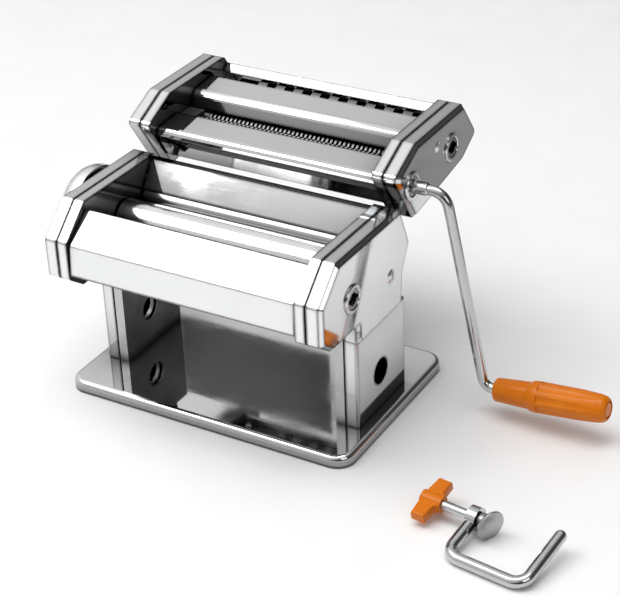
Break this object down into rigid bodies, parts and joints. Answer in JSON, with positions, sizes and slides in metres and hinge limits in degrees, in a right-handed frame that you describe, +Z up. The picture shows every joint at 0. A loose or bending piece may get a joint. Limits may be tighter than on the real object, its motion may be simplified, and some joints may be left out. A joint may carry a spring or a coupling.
{
  "type": "pasta roller machine",
  "caption": "Hand-cranked pasta roller machine with a chrome body, gap dial, lift-off double cutter, orange-handled crank and table clamp.",
  "frame": {"origin": "middle of the base at table level", "axes": "+X along the rollers towards the crank, +Y to the back, +Z up"},
  "size_m": [0.3594, 0.237, 0.165],
  "materials": {
    "chrome_sheet": "mirror-polished pressed sheet",
    "roller_chrome": "ground, polished and hard plated",
    "rod_chrome": "bright plated rod",
    "trim_chrome": "bright plated",
    "satin_chrome": "soft polished",
    "plated_steel": "zinc plated",
    "gear_steel": "machined",
    "cutter_steel": "machined and nickel plated",
    "bush_nylon": "moulded nylon",
    "dark_plastic": "moulded",
    "orange_plastic": "gloss moulded",
    "black_rubber": "matte"
  },
  "bodies": {
    "chassis": {"base_plate": "chrome_sheet", "rubber_feet": "black_rubber", "stand_screws": "plated_steel", "left_frame_plate": "plated_steel", "right_frame_plate": "plated_steel", "left_stand_cover": "chrome_sheet", "right_stand_cover": "chrome_sheet", "left_inner_shell": "chrome_sheet", "right_inner_shell": "chrome_sheet", "left_cover": "chrome_sheet", "right_cover": "chrome_sheet", "cover_rivets": "trim_chrome", "socket_ring": "trim_chrome", "front_panel": "chrome_sheet", "rear_guide_plate": "chrome_sheet", "tie_rods": "plated_steel", "roller_scrapers": "plated_steel", "roller_bushes": "bush_nylon", "attachment_rails": "plated_steel"},
    "drive_pinion": {"drive_pinion": "gear_steel"},
    "roller_carriage": {"bearing_blocks": "plated_steel", "carriage_tie_bar": "plated_steel"},
    "front_roller": {"front_roller": "roller_chrome", "front_roller_gear": "gear_steel"},
    "rear_roller": {"rear_roller": "roller_chrome", "rear_roller_gear": "gear_steel"},
    "gap_dial": {"dial_cam": "gear_steel", "dial_spring": "gear_steel"},
    "dial_knob": {"dial_knob": "satin_chrome"},
    "cutter_unit": {"cutter_left_end_plate": "chrome_sheet", "cutter_right_end_plate": "chrome_sheet", "cutter_left_cover": "chrome_sheet", "cutter_right_cover": "chrome_sheet", "cutter_rivets": "trim_chrome", "cutter_socket_rings": "trim_chrome", "cutter_rear_guide": "chrome_sheet", "cutter_middle_cap": "chrome_sheet", "cutter_front_guide": "chrome_sheet", "cutter_cheeks": "dark_plastic", "cutter_tie_rods": "plated_steel", "cutter_bushes": "bush_nylon", "fine_combs": "cutter_steel", "wide_combs": "cutter_steel"},
    "fine_pinion": {"fine_pinion": "gear_steel"},
    "fine_front_cutter": {"fine_front_cutter": "cutter_steel", "fine_front_gear": "gear_steel"},
    "fine_rear_cutter": {"fine_rear_cutter": "cutter_steel", "fine_rear_gear": "gear_steel"},
    "wide_front_cutter": {"wide_front_cutter": "cutter_steel", "wide_front_gear": "gear_steel"},
    "wide_rear_cutter": {"wide_rear_cutter": "cutter_steel", "wide_rear_gear": "gear_steel"},
    "crank": {"crank_rod": "rod_chrome", "crank_cross_pin": "rod_chrome", "grip_end_cap": "orange_plastic"},
    "handle_grip": {"handle_grip": "orange_plastic"},
    "table_clamp": {"clamp_frame": "rod_chrome"},
    "clamp_pad": {"clamp_pad": "plated_steel"},
    "clamp_screw": {"clamp_screw": "rod_chrome", "wing_knob": "orange_plastic"}
  },
  "joints": [
    {"name": "pinion_turn", "type": "hinge", "parent": "chassis", "child": "drive_pinion", "pos_m": [0, -0.0444, 0.105], "axis": [1, 0, 0], "continuous": true},
    {"name": "front_roller_turn", "type": "hinge", "parent": "roller_carriage", "child": "front_roller", "pos_m": [0, -0.0192, 0.105], "axis": [1, 0, 0], "continuous": true},
    {"name": "rear_roller_turn", "type": "hinge", "parent": "chassis", "child": "rear_roller", "pos_m": [0, 0.0086, 0.105], "axis": [1, 0, 0], "continuous": true},
    {"name": "gap_dial_turn", "type": "hinge", "parent": "chassis", "child": "gap_dial", "pos_m": [-0.105, -0.0192, 0.105], "axis": [-1, 0, 0], "range_deg": [0, 300]},
    {"name": "carriage_slide", "type": "slide", "parent": "chassis", "child": "roller_carriage", "axis": [0, 1, 0], "range_m": [0, 0.0022]},
    {"name": "dial_pull", "type": "slide", "parent": "gap_dial", "child": "dial_knob", "axis": [-1, 0, 0], "range_m": [0, 0.004], "stiffness_N_per_m": 1500, "springref_m": -0.002},
    {"name": "cutter_lift", "type": "slide", "parent": "chassis", "child": "cutter_unit", "axis": [0, 0, 1], "range_m": [0, 0.04]},
    {"name": "fine_pinion_turn", "type": "hinge", "parent": "cutter_unit", "child": "fine_pinion", "pos_m": [0, 0.03, 0.142], "axis": [1, 0, 0], "continuous": true},
    {"name": "fine_front_turn", "type": "hinge", "parent": "cutter_unit", "child": "fine_front_cutter", "pos_m": [0, 0.0457, 0.1384], "axis": [1, 0, 0], "continuous": true},
    {"name": "fine_rear_turn", "type": "hinge", "parent": "cutter_unit", "child": "fine_rear_cutter", "pos_m": [0, 0.06353, 0.1359], "axis": [1, 0, 0], "continuous": true},
    {"name": "wide_front_turn", "type": "hinge", "parent": "cutter_unit", "child": "wide_front_cutter", "pos_m": [0, 0.082, 0.1445], "axis": [1, 0, 0], "continuous": true},
    {"name": "wide_rear_turn", "type": "hinge", "parent": "cutter_unit", "child": "wide_rear_cutter", "pos_m": [0, 0.1, 0.1445], "axis": [1, 0, 0], "continuous": true},
    {"name": "crank_pull", "type": "slide", "parent": "fine_pinion", "child": "crank", "axis": [1, 0, 0], "range_m": [0, 0.03]},
    {"name": "handle_spin", "type": "hinge", "parent": "crank", "child": "handle_grip", "pos_m": [0.1432, 0.03, 0.0165], "axis": [0.9956, 0, 0.0941], "continuous": true},
    {"name": "clamp_lift", "type": "slide", "parent": "chassis", "child": "table_clamp", "axis": [0, 0, 1], "range_m": [0, 0.05]},
    {"name": "clamp_feed", "type": "slide", "parent": "table_clamp", "child": "clamp_pad", "axis": [0.9925, -0.1219, 0], "range_m": [0, 0.0135]},
    {"name": "clamp_screw_turn", "type": "hinge", "parent": "clamp_pad", "child": "clamp_screw", "pos_m": [0.1895, -0.0811, 0.0094], "axis": [0.9925, -0.1219, 0], "range_deg": [0, 3240]}
  ],
  "couplings": [
    {"joint": "front_roller_turn", "follows": "pinion_turn", "ratio": -1},
    {"joint": "rear_roller_turn", "follows": "pinion_turn", "ratio": 1},
    {"joint": "carriage_slide", "follows": "gap_dial_turn", "m_per_rad": 0.00042017},
    {"joint": "fine_front_turn", "follows": "fine_pinion_turn", "ratio": -0.77778},
    {"joint": "fine_rear_turn", "follows": "fine_pinion_turn", "ratio": 0.77778},
    {"joint": "wide_rear_turn", "follows": "wide_front_turn", "ratio": -1},
    {"joint": "clamp_feed", "follows": "clamp_screw_turn", "m_per_rad": 0.00023873}
  ]
}
